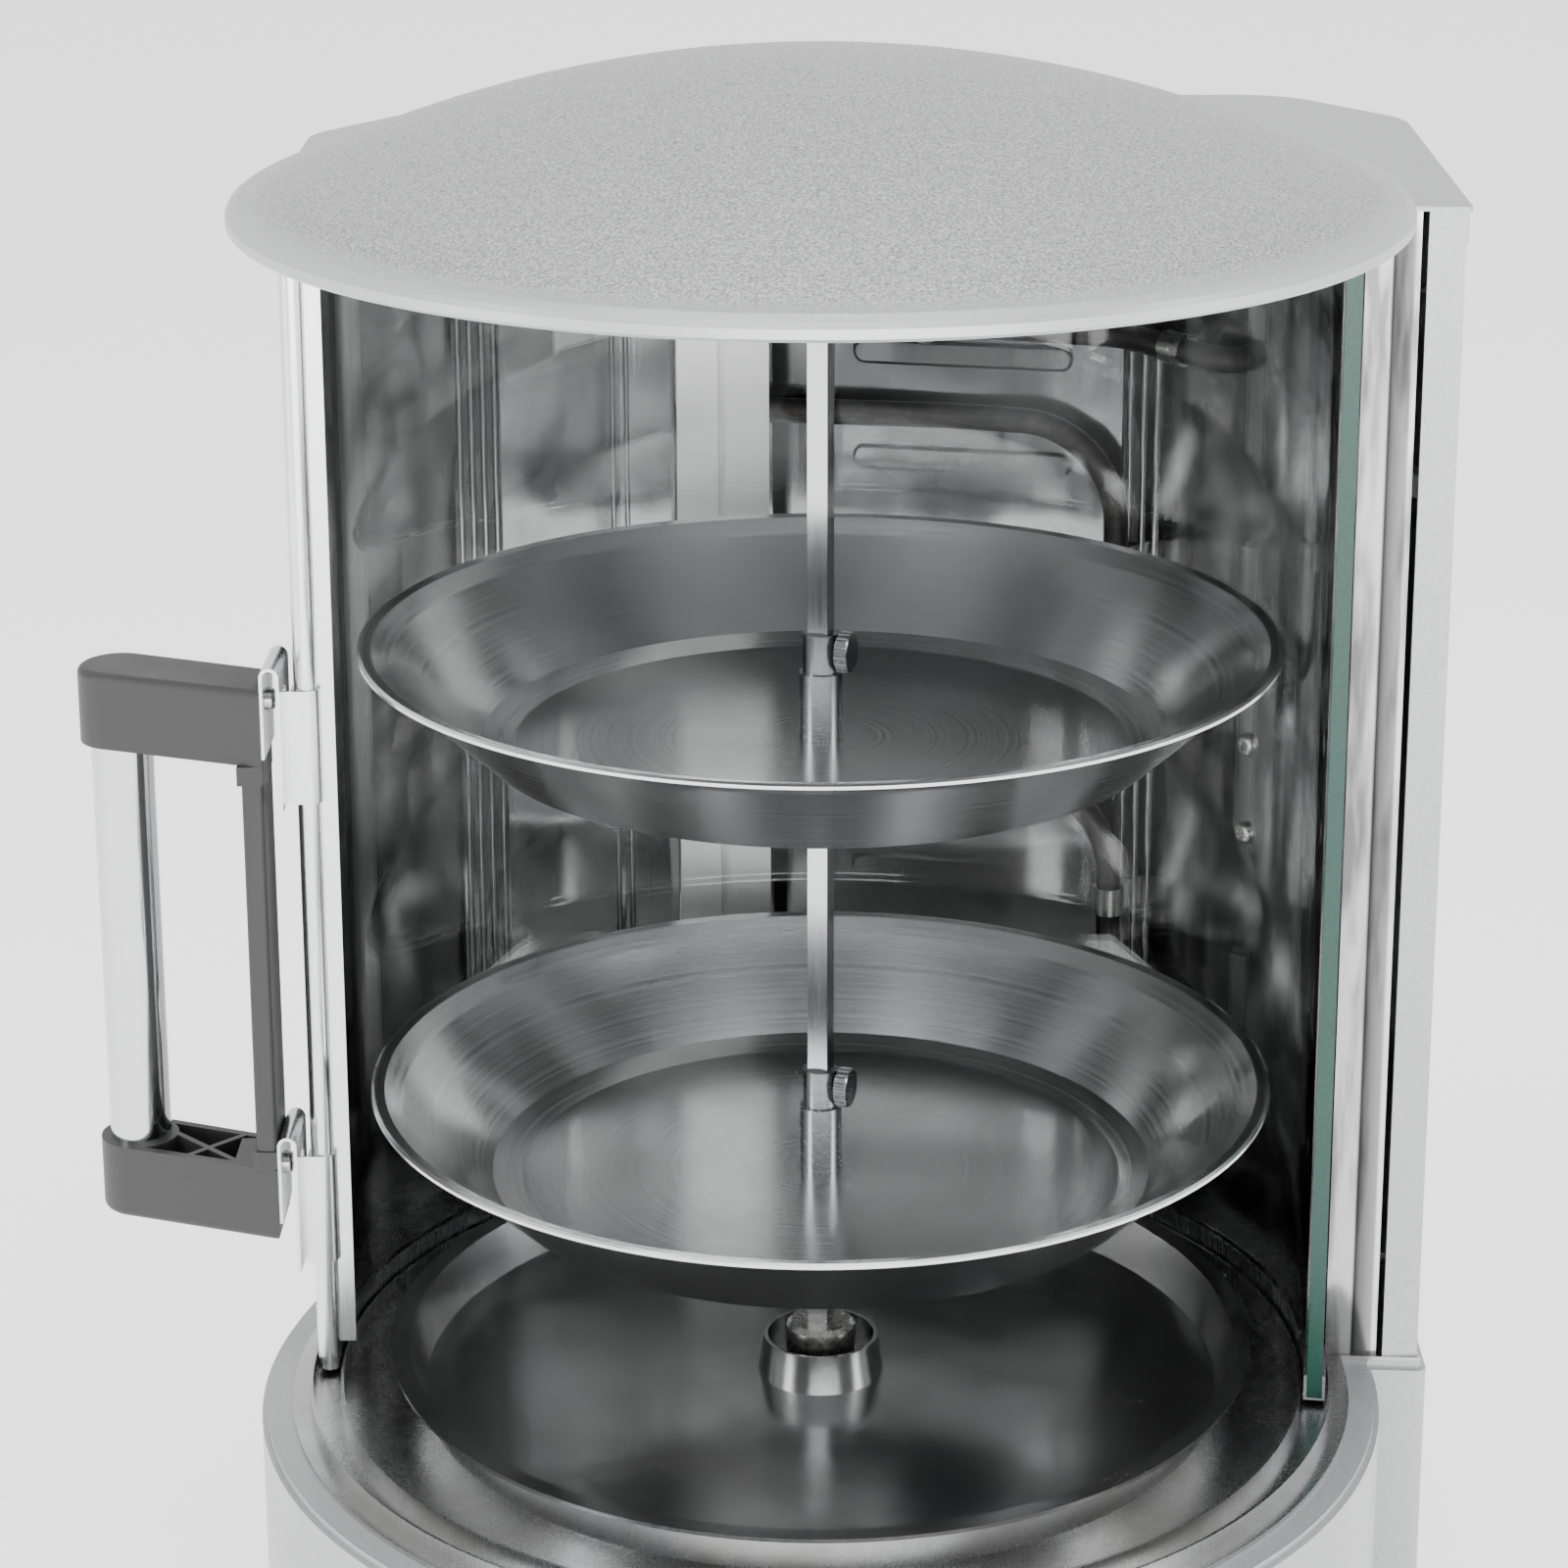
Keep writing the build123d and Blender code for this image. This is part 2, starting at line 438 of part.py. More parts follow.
for spot in casing_spots:
    put_casing -= spot * Pos(0, 0, -2) * Cylinder(SCREW_R, 6)
put("rear_casing", put_casing)
put("casing_screws", Compound(children=[spot * pan_screw(3.4, 2.2, SCREW_R, 7) for spot in casing_spots]))

floor_in = FOOT_H + 1.5
strip = block(-10, 42, 106, 126, floor_in, floor_in + 3)
for i in range(4):
    strip += block(-8 + 13 * i, 1 + 13 * i, 108, 124, floor_in + 3, floor_in + 14)
    strip -= rod(2.2, floor_in + 8, floor_in + 20, -3.5 + 13 * i, 116)
put("terminal_block", strip)
gland_at = Plane(origin=(GLAND_X, BACK_Y + 2.5, GLAND_Z), x_dir=(1, 0, 0), z_dir=(0, 1, 0))
gland = extrude(RegularPolygon(11, 6), amount=4) + Pos(0, 0, 4) * extrude(Circle(9), amount=4, taper=18)
gland += Pos(0, 0, -12) * extrude(Circle(GLAND_R), amount=12)
gland += Pos(0, 0, -BASE_WALL - 5) * extrude(RegularPolygon(11, 6), amount=5)
gland -= Pos(0, 0, -13) * extrude(Circle(3.6), amount=24)
put("cable_gland", gland_at * gland)

# ---- top ----------------------------------------------------------------------------------------
cover_hole = TRACK_OUT + TRACK_T + 0.3
cover_plan = body_outline(1.2) - Circle(cover_hole)
cover_plan -= Pos(0, LEFT_FRONT - 60) * Rectangle(2 * (cover_hole - 0.3), 120)
cover = Pos(0, 0, WALL_TOP) * extrude(cover_plan, amount=COVER_T)
skirt = Pos(0, 0, WALL_TOP - 9) * extrude(body_outline(1.2) - body_outline(0.1), amount=9)
skirt -= block(-128, 148, -20, 60, WALL_TOP - 10, WALL_TOP)
skirt -= block(-150, 148, -20, LEFT_FRONT, WALL_TOP - 10, WALL_TOP)
skirt -= block(-150, 180, -20, CASING_FRONT + 4, WALL_TOP - 10, WALL_TOP)
cover = cover + skirt
cover = Compound(children=[s for s in cover.solids() if s.volume > 200])
put("rear_cover", cover)

JOURNAL_R = 2.6
BUSH_R = 7.0
POST_AT = [polar(TRACK_OUT + TRACK_T + 2.6, a) for a in (32, 62, 90, 118, 150)]
LID_POST_AT = [polar(98, a) for a in (45, 135, 225, 315)]
PROBE_XY = (28.0, 95.0)
PROBE_R = 3.65
frame = rod(139, FRAME_Z, FRAME_Z + FRAME_T)
frame += ring(TRACK_IN, TRACK_IN - TRACK_T, FRAME_Z - TRACK_H, FRAME_Z)
frame += ring(TRACK_OUT + TRACK_T, TRACK_OUT, FRAME_Z - TRACK_H, FRAME_Z)
frame -= rod(BUSH_R - 1.5, FRAME_Z - 1, FRAME_Z + 3)
for i in range(24):
    frame -= Rot(0, 0, 15 * i) * Pos(62, 0, FRAME_Z - 1) * extrude(SlotOverall(26, 5), amount=4)
frame -= rod(PROBE_R, FRAME_Z - 1, FRAME_Z + 3, *PROBE_XY)
for x, y in LID_POST_AT:
    frame -= rod(1.6, FRAME_Z - 1, FRAME_Z + 3, x, y)
put("top_frame", frame)
frame_posts = [rod(2.0, WALL_TOP + COVER_T, FRAME_Z, x, y) for x, y in POST_AT]
put("frame_spacers", Compound(children=frame_posts))
top_bush = ring(BUSH_R, JOURNAL_R + FIT, FRAME_Z - 3, FRAME_Z) + ring(
    BUSH_R - 1.5, JOURNAL_R + FIT, FRAME_Z, FRAME_Z + FRAME_T + 4)
put("top_bush", top_bush)

LID_T = 1.0
FIELD_R = 136.0
FIELD_Z = LID_RIM_Z + 6.8
dome_r = (FIELD_R ** 2 + LID_DOME ** 2) / (2 * LID_DOME)
dome_z = FIELD_Z + LID_DOME - dome_r


def dome_point(radius, share):
    """A point of the dome's section, share 0 at its top and 1 at the field's edge."""
    angle = share * atan2(FIELD_R, FIELD_Z - dome_z)
    return (radius * sin(angle), dome_z + radius * cos(angle))


outer_arc = [dome_point(dome_r, s) for s in (1, 0.5, 0)]
inner_arc = [dome_point(dome_r - LID_T, s) for s in (0, 0.5, 1)]
rim = [(inner_arc[2][0] + 2.0, inner_arc[2][1] - 1.6), (LID_R - 3.6, FIELD_Z - 2.3), (LID_R - 2.2, FIELD_Z - 3.2),
       (LID_R - 2.2, LID_RIM_Z), (LID_R - 0.8, LID_RIM_Z), (LID_R, LID_RIM_Z + 0.8), (LID_R, LID_RIM_Z + 3.0),
       (LID_R - 0.8, LID_RIM_Z + 4.4), (LID_R - 3.0, LID_RIM_Z + 5.8), (FIELD_R + 2.2, FIELD_Z - 0.7)]
lid_edges = [ThreePointArc(*outer_arc).edge(), Line(outer_arc[2], inner_arc[0]).edge(), ThreePointArc(*inner_arc).edge()]
lid_line = [inner_arc[2], *rim, outer_arc[0]]
lid_edges += [Line(a, b).edge() for a, b in zip(lid_line, lid_line[1:])]
lid = revolve(Plane.XZ * Face(Wire(lid_edges)), axis=Axis.Z)
under_dome = Pos(0, 0, dome_z) * Sphere(dome_r - LID_T)
lid_posts = [rod(4, FRAME_Z + FRAME_T, LID_RIM_Z + 60, x, y) & under_dome for x, y in LID_POST_AT]
lid_posts = [post - rod(1.5, FRAME_Z, FRAME_Z + 9, x, y) for post, (x, y) in zip(lid_posts, LID_POST_AT)]
for post in lid_posts:
    lid += post
put("lid", lid)
lid_screw = Pos(0, 0, FRAME_Z) * Rot(180, 0, 0) * pan_screw(3.4, 2.2, 1.5, 9)
put("lid_screws", Compound(children=[Pos(x, y) * lid_screw for x, y in LID_POST_AT]))

probe_end = 355.0
probe = rod(PROBE_R, probe_end, FRAME_Z + FRAME_T + 6, *PROBE_XY)
probe = fillet(probe.edges().group_by(Axis.Z)[0], PROBE_R * 0.9)
probe += rod(PROBE_R + 2, FRAME_Z - 2, FRAME_Z, *PROBE_XY)
put("temperature_probe", probe)

# ---- spit and plates ----------------------------------------------------------------------------
SPIT_Z0 = SOCKET_Z1 - SOCKET_DEPTH + 0.2
SPIT_TOP = FRAME_Z + 12.0
JOURNAL_Z = FRAME_Z - 3 - LIFT - 1.5
spit = Pos(0, 0, SPIT_Z0) * Rot(0, 0, SPIT_TURN) * extrude(Rectangle(SPIT_A, SPIT_A), amount=JOURNAL_Z - SPIT_Z0)
spit = chamfer(spit.edges().group_by(Axis.Z)[0], 0.8)
spit += rod(JOURNAL_R, JOURNAL_Z, SPIT_TOP)
spit = chamfer(spit.edges().group_by(Axis.Z)[-1], 0.6)
put("spit", spit)

HUB_R, NECK_R = 5.5, 4.6
THUMB_R, THUMB_L, THUMB_DROP = 5.2, 3.4, 4.0
for name, rim_z in (("upper", UPPER_RIM), ("lower", LOWER_RIM)):
    z0 = rim_z - PLATE_DEPTH
    dish = revolved([
        (HUB_R, z0), (PLATE_R - 38, z0), (PLATE_R - 30, z0 + 2), (PLATE_R - 7, rim_z - 4.6), (PLATE_R - 3, rim_z - 1.4),
        (PLATE_R - 1.1, rim_z - 1.9), (PLATE_R, rim_z - 1.2), (PLATE_R, rim_z - 0.4), (PLATE_R - 0.8, rim_z),
        (PLATE_R - 3.4, rim_z - 0.4), (PLATE_R - 7.8, rim_z - 3.9), (PLATE_R - 30.6, z0 + 2 + PLATE_T),
        (PLATE_R - 38.3, z0 + PLATE_T), (HUB_R, z0 + PLATE_T)])
    put("plate_" + name, dish)
    hub = rod(HUB_R, z0 - 5, rim_z - 9.6) + rod(NECK_R, rim_z - 9.6, rim_z + 0.5)
    hub += rod(HUB_R + 6, z0 - 1.6, z0)
    hub -= Pos(0, 0, z0 - 6) * Rot(0, 0, SPIT_TURN) * extrude(
        Rectangle(SPIT_A + 2 * SLIP, SPIT_A + 2 * SLIP), amount=PLATE_DEPTH + 10)
    side = Plane(origin=(0, 0, rim_z - THUMB_DROP), x_dir=(0, 0, 1), z_dir=(*polar(1, SPIT_TURN), 0))
    hub -= side * extrude(Circle(1.5 + FIT), amount=8)
    put("hub_" + name, hub)
    thumb = Pos(0, 0, NECK_R + 0.35) * extrude(Circle(THUMB_R), amount=THUMB_L)
    thumb = chamfer(thumb.edges().filter_by(GeomType.CIRCLE), 0.4)
    for i in range(20):
        thumb -= Rot(0, 0, 18 * i) * Pos(THUMB_R + 0.2, 0, NECK_R) * extrude(Circle(0.5), amount=THUMB_L + 1)
    thumb += Pos(0, 0, SPIT_A / 2 + 0.02) * extrude(Circle(1.5), amount=NECK_R + 1 - SPIT_A / 2)
    put("thumbscrew_" + name, side * thumb)

# ---- door ---------------------------------------------------------------------------------------
DOOR_Z0 = FLOOR_Z + RUNNER_H
DOOR_Z1 = FRAME_Z - 0.8
glass_z0, glass_z1 = DOOR_Z0 + CARRIER_T, DOOR_Z1 - CARRIER_T
glass = sector(GLASS_R, GLASS_IN, GLASS_FROM, GLASS_TO, glass_z0, glass_z1)
put("door_glass", glass)
tube = ring(TUBE_R, TUBE_R - 0.8, DOOR_Z0, DOOR_Z1)
put("door_tube", Pos(-EDGE_R, 0) * tube)
tube_bar = rod(TUBE_R, DOOR_Z0 - 1, DOOR_Z1 + 1, -EDGE_R, 0)
edge_channel = sector(GLASS_R + CARRIER_T, GLASS_IN - CARRIER_T, GLASS_TO - 3.2, 179.6, DOOR_Z0 + CARRIER_H,
                      DOOR_Z1 - CARRIER_H) - glass - tube_bar
edge_channel += block(-GLASS_IN - 1.0, -GLASS_IN + LIP, 0.2, 1.1, DOOR_Z0 + CARRIER_H, DOOR_Z1 - CARRIER_H) - tube_bar
edge_channel = max(edge_channel.solids(), key=lambda s: s.volume)
put("door_edge_channel", edge_channel)
for name, z0, z1 in (("bottom", DOOR_Z0, DOOR_Z0 + CARRIER_H), ("top", DOOR_Z1 - CARRIER_H, DOOR_Z1)):
    carrier = sector(GLASS_R + CARRIER_T, GLASS_IN - CARRIER_T, GLASS_FROM + 0.15, 179.6, z0, z1) - glass - tube_bar
    put("door_carrier_" + name, max(carrier.solids(), key=lambda s: s.volume))
runners = [sector(GLASS_R + 0.4, GLASS_IN - 0.4, a, a + 5, FLOOR_Z, DOOR_Z0) for a in (0, 42, 84, 126, 168)]
put("door_runners", Compound(children=runners))

# ---- handle -------------------------------------------------------------------------------------
LEG_X = EDGE_R + 6.2                   # outer face of the bracket's leg
PLATE_X = LEG_X + 3.4                  # inner face of the bracket's end plate
STRAP = 0.8
BASE_X = PLATE_X + STRAP               # face the handle stands on
HALF_W = 10.5
REACH = 40.6                           # handle base to grip axis
GRIP_XY = (-BASE_X - REACH * cos(radians(HANDLE_SWEEP)), 3.2 + REACH * sin(radians(HANDLE_SWEEP)))
CAP_H = 20.0
HANDLE_TOP, HANDLE_LOW = 290.0, 140.0
SCREW_DOWN = 11.0
CAP_UPPER = HANDLE_TOP - CAP_H
swept = (sin(radians(HANDLE_SWEEP)) * HALF_W, cos(radians(HANDLE_SWEEP)) * HALF_W)


def cap_plan(inset=0.0):
    """An end cap in plan: a straight base that leans back into a round tip."""
    gx, gy = GRIP_XY
    arm = make_face(Polyline(
        (-BASE_X, -HALF_W), (-BASE_X, HALF_W), (gx + swept[0], gy + swept[1]), (gx - swept[0], gy - swept[1]), close=True))
    plan = arm + Pos(gx, gy) * Circle(HALF_W)
    return offset(plan, amount=-inset) if inset else plan


grip_socket = rod(GRIP_R, HANDLE_LOW + 6, HANDLE_TOP - 6, *GRIP_XY)
upper_cap = Pos(0, 0, CAP_UPPER) * extrude(cap_plan(), amount=CAP_H)
upper_cap = fillet(upper_cap.edges().group_by(Axis.Z)[-1], 2.0)
upper_cap += block(-BASE_X - 6.5, -BASE_X, -HALF_W + 0.5, HALF_W - 0.5, CAP_UPPER - 5, CAP_UPPER)
lower_cap = Pos(0, 0, HANDLE_LOW) * extrude(cap_plan(), amount=CAP_H)
lower_cap = fillet(lower_cap.edges().group_by(Axis.Z)[0], 2.0)
hollow = Pos(0, 0, HANDLE_LOW + 5) * extrude(cap_plan(2.2), amount=CAP_H)
hollow -= rod(GRIP_R + 1.8, HANDLE_LOW, HANDLE_LOW + CAP_H + 9, *GRIP_XY)
hollow -= block(-BASE_X - 12, -BASE_X, -HALF_W, HALF_W, HANDLE_LOW, HANDLE_LOW + CAP_H + 9)
for angle in (45, -45):
    hollow -= Pos(-BASE_X - 20, 4.6, HANDLE_LOW + 12) * Rot(0, 0, angle) * Box(50, 1.6, 30)
lower_cap -= hollow
lower_cap += block(-BASE_X - 6.5, -BASE_X, -HALF_W + 0.5, HALF_W - 0.5, HANDLE_LOW + CAP_H, HANDLE_LOW + CAP_H + 5)
screws = []
for name, top, cap in (("upper", HANDLE_TOP + 6, upper_cap), ("lower", HANDLE_LOW + CAP_H + 9, lower_cap)):
    bottom, arch = top - 38, top - STRAP - 1.7
    mid_x = (LEG_X + PLATE_X) / 2
    bracket = Pos(-EDGE_R, 0) * ring(TUBE_R + STRAP, TUBE_R, bottom, top - 8)
    bracket += block(-LEG_X, -EDGE_R, -TUBE_R - STRAP, -TUBE_R, bottom, top - 8)
    bracket += block(-LEG_X, -LEG_X + STRAP, -10, 10, bottom, arch)
    bracket += Pos(-mid_x, 0, arch) * Rot(90, 0, 0) * extrude(
        (Circle(1.7 + STRAP) - Circle(1.7)) & Pos(0, 5) * Rectangle(20, 10), amount=10, both=True)
    bracket += block(-BASE_X, -PLATE_X, -10, 10, top - 24, arch)
    spot = Plane(origin=(-PLATE_X, 0, top - SCREW_DOWN), x_dir=(0, 1, 0), z_dir=(1, 0, 0))
    bracket -= spot * Pos(0, 0, -8) * extrude(Circle(SCREW_R), amount=8)
    bracket -= spot * extrude(Circle(3.6), amount=6)
    bracket = bracket - tube_bar - edge_channel - glass
    put("handle_bracket_" + name, max(bracket.solids(), key=lambda s: s.volume))
    cap -= spot * Pos(0, 0, -10) * extrude(Circle(SCREW_R), amount=10)
    cap -= grip_socket
    put("handle_cap_" + name, cap)
    screws.append(spot * pan_screw(3.0, 2.0, SCREW_R, 9))
put("handle_screws", Compound(children=screws))
put("handle_grip", rod(GRIP_R, HANDLE_LOW + 6, HANDLE_TOP - 6, *GRIP_XY) - rod(
    GRIP_R - 1, HANDLE_LOW + 5, HANDLE_TOP - 5, *GRIP_XY))
back_strip = block(-BASE_X - 5.5, -BASE_X, -HALF_W + 1, HALF_W - 1, HANDLE_LOW + CAP_H + 5, CAP_UPPER - 5)
put("handle_back_strip", fillet(back_strip.edges().filter_by(Axis.Z), 1.2))

# ---- origin in the middle of the footprint, files -----------------------------------------------
boxes = [shape.bounding_box() for shape in parts.values()]
low = [min(tuple(b.min)[i] for b in boxes) for i in range(3)]
high = [max(tuple(b.max)[i] for b in boxes) for i in range(3)]
home = Pos(-(low[0] + high[0]) / 2, -(low[1] + high[1]) / 2, -low[2])
os.makedirs("parts", exist_ok=True)
for name, shape in parts.items():
    export_step(home * shape, "parts/" + name + ".step")
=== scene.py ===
import math
import bpy
import numpy as np
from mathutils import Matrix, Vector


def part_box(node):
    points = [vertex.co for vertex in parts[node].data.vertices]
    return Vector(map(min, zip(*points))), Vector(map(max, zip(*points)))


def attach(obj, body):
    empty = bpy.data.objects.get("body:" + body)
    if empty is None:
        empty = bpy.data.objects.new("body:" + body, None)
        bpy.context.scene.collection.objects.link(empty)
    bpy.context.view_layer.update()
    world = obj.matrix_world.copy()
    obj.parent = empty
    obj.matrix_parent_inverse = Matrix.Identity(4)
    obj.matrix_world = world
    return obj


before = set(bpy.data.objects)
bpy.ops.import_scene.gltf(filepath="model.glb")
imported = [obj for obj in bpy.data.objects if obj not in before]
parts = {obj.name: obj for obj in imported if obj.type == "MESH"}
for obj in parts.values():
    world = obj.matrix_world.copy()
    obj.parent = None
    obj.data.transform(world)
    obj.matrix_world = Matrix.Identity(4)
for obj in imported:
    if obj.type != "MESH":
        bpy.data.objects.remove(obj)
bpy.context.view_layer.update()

# ---- base housing, rear casing, rear cover, lid --------------------------------------------------
# Pressed sheet steel, powder painted in a silver coat with a fine sandy grain; the sheets are
# folded and held with pan-head screws. The lid is deep drawn, its field grained coarser than its
# rim.
LID_RIM_TOP, LID_FIELD = 0.4148, 0.4176  # the coarse grain comes in between these heights, metres


def srgb(code):
    """A #RRGGBB colour as linear RGBA."""
    raw = [int(code[i:i + 2], 16) / 255 for i in (1, 3, 5)]
    return [c / 12.92 if c <= 0.04045 else ((c + 0.055) / 1.055) ** 2.4 for c in raw] + [1.0]


def new_material(name):
    """An empty node material, its tree and its Principled shader."""
    made = bpy.data.materials.new(name)
    made.use_nodes = True
    return made, made.node_tree, made.node_tree.nodes["Principled BSDF"]


def feed(tree, node, inputs):
    """Feeds a node's inputs: a value is set, a socket is linked, a node gives its first output."""
    for key, source in inputs.items():
        if isinstance(source, bpy.types.Node):
            source = source.outputs[0]
        if isinstance(source, bpy.types.NodeSocket):
            tree.links.new(node.inputs[key], source)
        else:
            node.inputs[key].default_value = source


def add(tree, kind, inputs=None, stops=(), **settings):
    """A shader node with its settings, what feeds its inputs and, on a ramp, its stops, which are
    (place, colour code or grey value). A texture's Scale is in cells per metre."""
    made = tree.nodes.new("ShaderNode" + kind)
    for key, value in settings.items():
        setattr(made, key, value)
    if stops:
        line = made.color_ramp.elements
        while len(line) < len(stops):
            line.new(0.5)
        for element, (place, value) in zip(line, stops):
            element.position = place
            element.color = srgb(value) if isinstance(value, str) else [value] * 3 + [1.0]
    feed(tree, made, inputs or {})
    return made


def dress(material, *names):
    """Gives CAD nodes one material."""
    for name in names:
        mesh = parts[name].data
        mesh.materials.clear()
        mesh.materials.append(material)


def silver_paint():
    """Metallic powder paint, a soft grey sparkle: flake of 0.4 mm, coarser than real flake so that
    it shows, over a sandy grain of 1.1 mm; handling clouds of 70 mm shift the gloss."""
    made, tree, shader = new_material("silver powder paint, smooth")
    place = add(tree, "TexCoord").outputs["Object"]
    flake = add(tree, "TexNoise", {
        "Vector": place, "Scale": 2600.0, "Detail": 2.0, "Roughness": 0.6})
    cloud = add(tree, "TexNoise", {
        "Vector": place, "Scale": 14.0, "Detail": 5.0, "Roughness": 0.6})
    grain = add(tree, "TexNoise", {
        "Vector": place, "Scale": 900.0, "Detail": 3.0, "Roughness": 0.65})
    feed(tree, shader, {
        "Base Color": add(tree, "ValToRGB", {"Fac": flake}, [(0.32, "#9FA0A2"), (0.68, "#B9BABB")]),
        "Roughness": add(tree, "ValToRGB", {"Fac": cloud}, [(0.3, 0.36), (0.7, 0.44)]),
        "Metallic": 0.55, "Coat Weight": 0.15, "Coat Roughness": 0.2,
        "Normal": add(tree, "Bump", {"Height": grain, "Strength": 0.35, "Distance": 0.0001})})
    return made


def sandy_paint():
    """The lid's paint, dotted light and dark: a grain of 0.8 mm times f, and its dots mixed in by
    f, where f = (z - rim top) / (field - rim top) held to 0..1, so that the rim stays smooth."""
    made, tree, shader = new_material(
        "silver powder paint, coarse grain on the lid's field, rim left smooth")
    place = add(tree, "TexCoord").outputs["Object"]
    height = add(tree, "SeparateXYZ", {"Vector": place}).outputs["Z"]
    field = add(tree, "MapRange", {
        "Value": height, "From Min": LID_RIM_TOP, "From Max": LID_FIELD})
    grain = add(tree, "TexNoise", {
        "Vector": place, "Scale": 1300.0, "Detail": 4.0, "Roughness": 0.7})
    cloud = add(tree, "TexNoise", {
        "Vector": place, "Scale": 14.0, "Detail": 5.0, "Roughness": 0.55})
    dots = add(tree, "ValToRGB", {"Fac": grain}, [
        (0.34, "#77787A"), (0.5, "#A6A7A8"), (0.66, "#D2D2D2")])
    raised = add(tree, "Math", {0: grain, 1: field}, operation="MULTIPLY")
    feed(tree, shader, {
        "Base Color": add(tree, "MixRGB", {
            "Fac": field, "Color1": srgb("#BCBDBE"), "Color2": dots}),
        "Roughness": add(tree, "ValToRGB", {"Fac": cloud}, [(0.3, 0.34), (0.7, 0.42)]),
        "Metallic": 0.6,
        "Normal": add(tree, "Bump", {"Height": raised, "Strength": 0.8, "Distance": 0.0003})})
    return made


dress(silver_paint(), "base_housing", "rear_casing", "rear_cover")
dress(sandy_paint(), "lid")

# ---- control panel, marks, knobs, lamp -----------------------------------------------------------
# A flat stamped stainless plate, brushed sideways, with printed tick marks. The knobs are black
# moulded plastic on steel spindles; the lamp between them is a clear amber lens in a black holder.
PRINT_LIFT = 0.00005  # how far printed ink stands off its surface, metres
TICK_NEAR, TICK_SHORT, TICK_FAR = 0.0196, 0.0212, 0.0226  # radii of the marks round a knob
TICK_HALF = 0.0003  # half of a mark's width
POINTER_HALF, POINTER_LOW, POINTER_HIGH = 0.0005, 0.004, 0.0135  # half width, ends above the axis


def brushed(name, color, scale, rough, streak=0.10, metal=1.0):
    """Rolled or brushed metal, a streaked sheen: streaks are noise(p * scale), long on the axis
    where scale, in streaks per metre, is low, over stains of 45 mm; the roughness goes from
    rough - streak to rough + streak."""
    made, tree, shader = new_material(name)
    place = add(tree, "TexCoord").outputs["Object"]
    drawn = add(tree, "Mapping", {"Vector": place, "Scale": scale})
    lines = add(tree, "TexNoise", {
        "Vector": drawn, "Scale": 1.0, "Detail": 6.0, "Roughness": 0.7})
    stains = add(tree, "TexNoise", {
        "Vector": place, "Scale": 22.0, "Detail": 6.0, "Roughness": 0.6})
    dulled = add(tree, "MixRGB", {"Fac": 0.4, "Color1": lines, "Color2": stains})
    base = srgb(color)
    light = [min(1.0, c * 1.16) for c in base]
    feed(tree, shader, {
        "Base Color": add(tree, "MixRGB", {"Fac": lines, "Color1": base, "Color2": light}),
        "Roughness": add(tree, "ValToRGB", {"Fac": dulled}, [
            (0.3, max(0.03, rough - streak)), (0.7, rough + streak)]),
        "Metallic": metal,
        "Normal": add(tree, "Bump", {"Height": lines, "Strength": 0.12, "Distance": 0.00003})})
    return made


def moulded(name, color, rough, grain, depth):
    """Moulded plastic, rubber, glaze or ink, an even dull or glossy skin: grain cells per metre of
    the given depth in metres, and wear of 30 mm that moves the colour, and the roughness by 0.06,
    to each side."""
    made, tree, shader = new_material(name)
    place = add(tree, "TexCoord").outputs["Object"]
    wear = add(tree, "TexNoise", {
        "Vector": place, "Scale": 35.0, "Detail": 5.0, "Roughness": 0.6})
    eroded = add(tree, "TexNoise", {
        "Vector": place, "Scale": grain, "Detail": 2.0, "Roughness": 0.5})
    base = srgb(color)[:3]
    dark = [c * 0.85 for c in base] + [1.0]
    light = [min(1.0, c * 1.2 + 0.002) for c in base] + [1.0]
    feed(tree, shader, {
        "Base Color": add(tree, "MixRGB", {"Fac": wear, "Color1": dark, "Color2": light}),
        "Roughness": add(tree, "ValToRGB", {"Fac": wear}, [
            (0.3, rough - 0.06), (0.7, rough + 0.06)]),
        "Normal": add(tree, "Bump", {"Height": eroded, "Strength": 0.3, "Distance": depth})})
    return made


def fluted_lens():
    """Clear amber plastic with painted glints in thin bars: a wave of 420 per metre in object space
    bumps it and paints its colour in lighter and darker amber.
    """
    made, tree, shader = new_material("amber clear plastic, moulded, painted glints")
    place = add(tree, "TexCoord").outputs["Object"]
    flutes_and_painted_glints = add(tree, "TexWave", {
        "Vector": place, "Scale": 420.0, "Distortion": 0.3}).outputs["Fac"]
    feed(tree, shader, {
        # painted glints: the wave paints lighter and darker amber bars into the colour
        "Base Color": add(tree, "ValToRGB", {"Fac": flutes_and_painted_glints}, [(0.2, "#C8641E"), (0.8, "#E38A35")]),
        "Roughness": 0.12, "Transmission Weight": 0.5, "IOR": 1.49,
        "Normal": add(tree, "Bump", {"Height": flutes_and_painted_glints, "Strength": 0.3, "Distance": 0.0002})})
    return made


def new_object(name, data):
    """An object of some data, linked into the scene."""
    made = bpy.data.objects.new(name, data)
    bpy.context.scene.collection.objects.link(made)
    return made


def quads(name, corners, material, body):
    """One mesh from an array of quads, shape (count, 4, 3)."""
    mesh = bpy.data.meshes.new(name)
    faces = np.arange(len(corners) * 4).reshape(-1, 4)
    mesh.from_pydata(corners.reshape(-1, 3).tolist(), [], faces.tolist())
    mesh.update()
    mesh.materials.append(material)
    made = new_object(name, mesh)
    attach(made, body)


def box_of(name):
    """A node's box at rest: its middle (low + high) / 2, and its low corner."""
    low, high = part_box(name)
    return (np.array(low) + np.array(high)) / 2, np.array(low)


